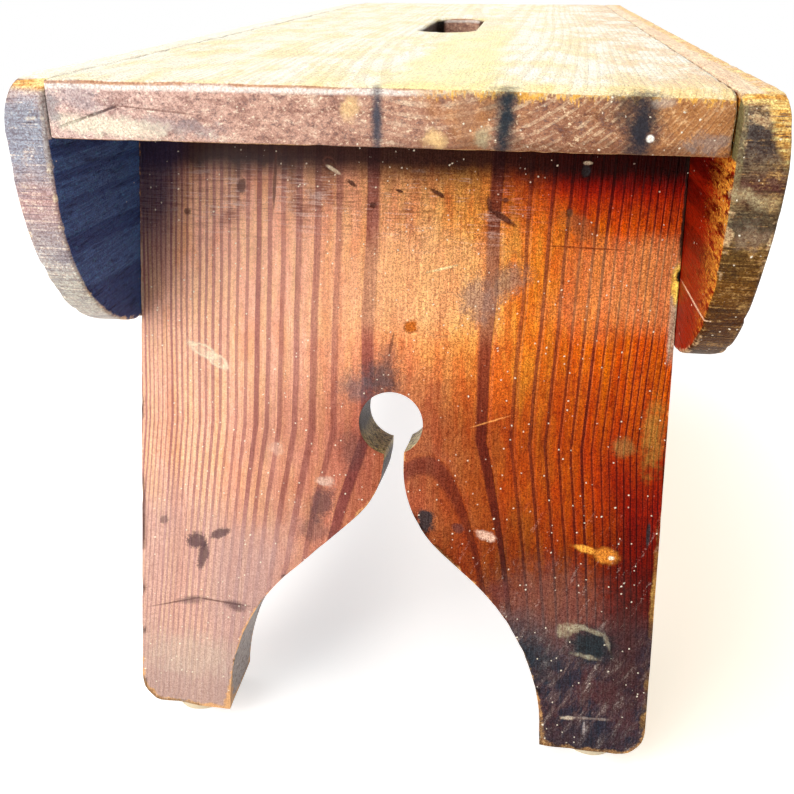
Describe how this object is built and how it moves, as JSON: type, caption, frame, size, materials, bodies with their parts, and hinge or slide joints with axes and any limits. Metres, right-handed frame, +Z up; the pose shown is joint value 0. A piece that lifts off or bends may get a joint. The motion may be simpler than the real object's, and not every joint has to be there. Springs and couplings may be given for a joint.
{
  "type": "bench",
  "caption": "Low farmhouse bench of nailed boards with a hand-hold slot, round-ended side aprons and splayed board legs cut with a keyhole and ogee arch.",
  "frame": {"origin": "On the floor, at the middle of the bench's outline box, which is the middle of the four glides' rectangle along the bench.", "axes": "+X runs across the bench to the right as seen from the front end, +Y runs along the bench from the front end to the rear end, and +Z is up."},
  "size_m": [0.235, 0.577, 0.2705],
  "materials": {
    "top_wood": "worn honey-yellow varnish over pine, glossy, with darker stain left at the edges",
    "apron_wood": "dark red-brown stained pine with raw saw-marked ends",
    "leg_wood": "red-orange varnish over flat-sawn pine with dark growth lines, scuffed and stained",
    "glide": "aged cream nylon",
    "nail_iron": "dark rusted cut nails",
    "pin_steel": "dull plated steel pins"
  },
  "bodies": {
    "root": {"top_board": "top_wood", "left_apron": "apron_wood", "right_apron": "apron_wood", "front_leg": "leg_wood", "rear_leg": "leg_wood", "front_left_glide": "glide", "front_right_glide": "glide", "rear_left_glide": "glide", "rear_right_glide": "glide", "glide_pins": "pin_steel", "front_leg_top_nails": "nail_iron", "rear_leg_top_nails": "nail_iron", "left_apron_top_nails": "nail_iron", "right_apron_top_nails": "nail_iron", "left_apron_leg_nails": "nail_iron", "right_apron_leg_nails": "nail_iron"}
  },
  "joints": []
}
